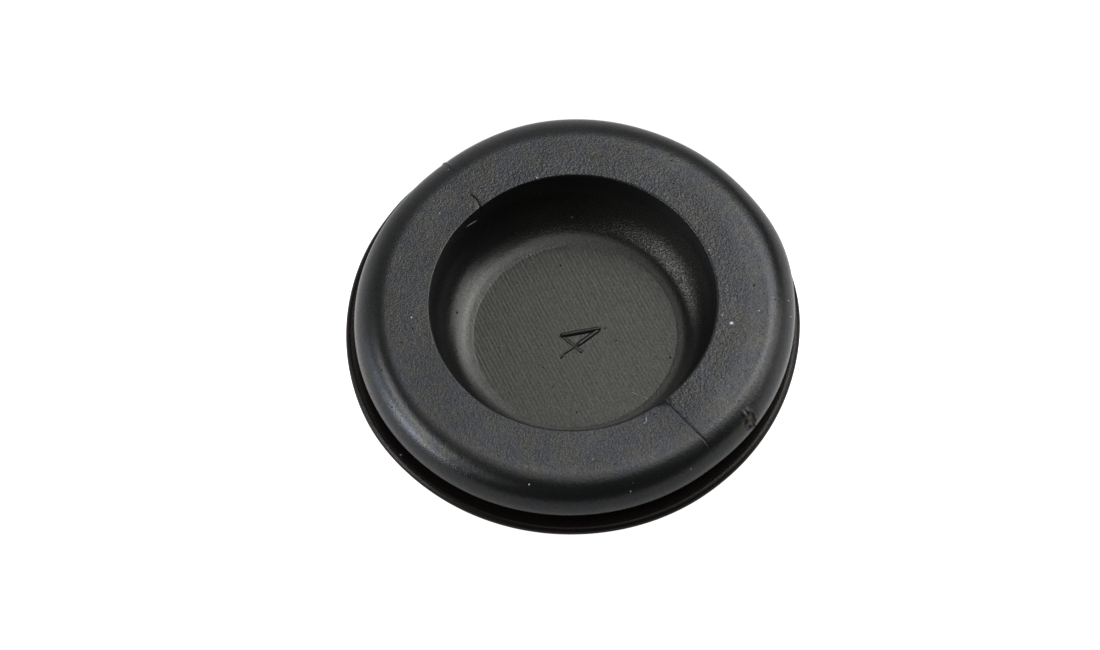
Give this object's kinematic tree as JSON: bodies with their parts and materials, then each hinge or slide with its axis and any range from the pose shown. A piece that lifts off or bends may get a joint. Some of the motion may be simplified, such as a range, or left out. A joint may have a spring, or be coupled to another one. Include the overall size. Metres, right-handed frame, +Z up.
{
  "type": "closed rubber grommet",
  "caption": "Moulded black rubber blanking plug for a round hole in sheet metal: two rounded flanges, a panel groove between them and a cup-shaped well closed by a thin web.",
  "frame": {"origin": "centre of the flat underside, on the axis of revolution", "axes": "+Z up along the axis, out of the mouth of the well; X and Y are any two directions at right angles, because the part is round"},
  "size_m": [0.034, 0.034, 0.0072],
  "materials": {
    "black_rubber": "moulded, fine spark-eroded grain, satin"
  },
  "bodies": {
    "root": {"blanking_grommet": "black_rubber"}
  },
  "joints": []
}
